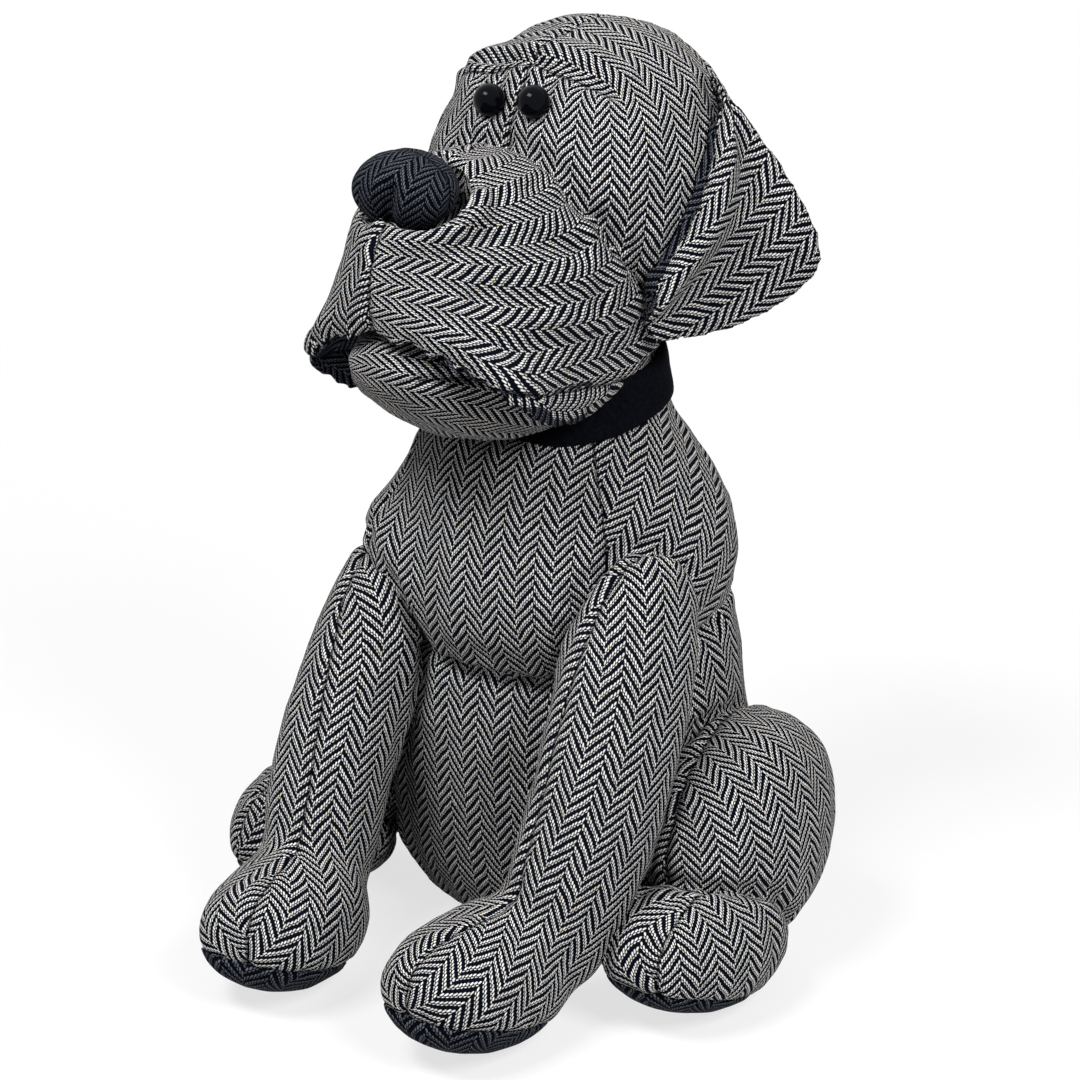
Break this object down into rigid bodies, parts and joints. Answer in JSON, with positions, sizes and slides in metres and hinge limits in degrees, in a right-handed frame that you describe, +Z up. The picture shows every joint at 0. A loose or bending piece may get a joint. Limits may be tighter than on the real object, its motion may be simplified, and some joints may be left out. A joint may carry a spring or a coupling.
{
  "type": "weighted fabric door stop",
  "caption": "Weighted fabric door stop sewn as a sitting dog in herringbone tweed, with dark soles and nose, hanging jowls and ears, and a dark collar.",
  "frame": {"origin": "on the floor under the middle of the dog's bounding box", "axes": "+Z up; the dog faces -Y; +X is towards the dog's own left side"},
  "size_m": [0.187, 0.1802, 0.2768],
  "materials": {
    "tweed": "woven herringbone, black and off-white",
    "dark_tweed": "woven herringbone, charcoal and black",
    "collar_cloth": "matt",
    "bead": "glossy"
  },
  "bodies": {
    "root": {"front_leg_left": "tweed", "front_leg_right": "tweed", "hind_foot_left": "tweed", "hind_foot_right": "tweed", "upper_body": "tweed", "weighted_base": "tweed", "thigh_left": "tweed", "thigh_right": "tweed", "cranium": "tweed", "muzzle": "tweed", "chin": "tweed", "ear_left": "tweed", "ear_right": "tweed", "front_sole_left": "dark_tweed", "front_sole_right": "dark_tweed", "hind_sole_left": "dark_tweed", "hind_sole_right": "dark_tweed", "jowl_lining": "dark_tweed", "nose": "dark_tweed", "ear_lining_left": "dark_tweed", "ear_lining_right": "dark_tweed", "collar": "collar_cloth", "eye_left": "bead", "eye_right": "bead"}
  },
  "joints": []
}
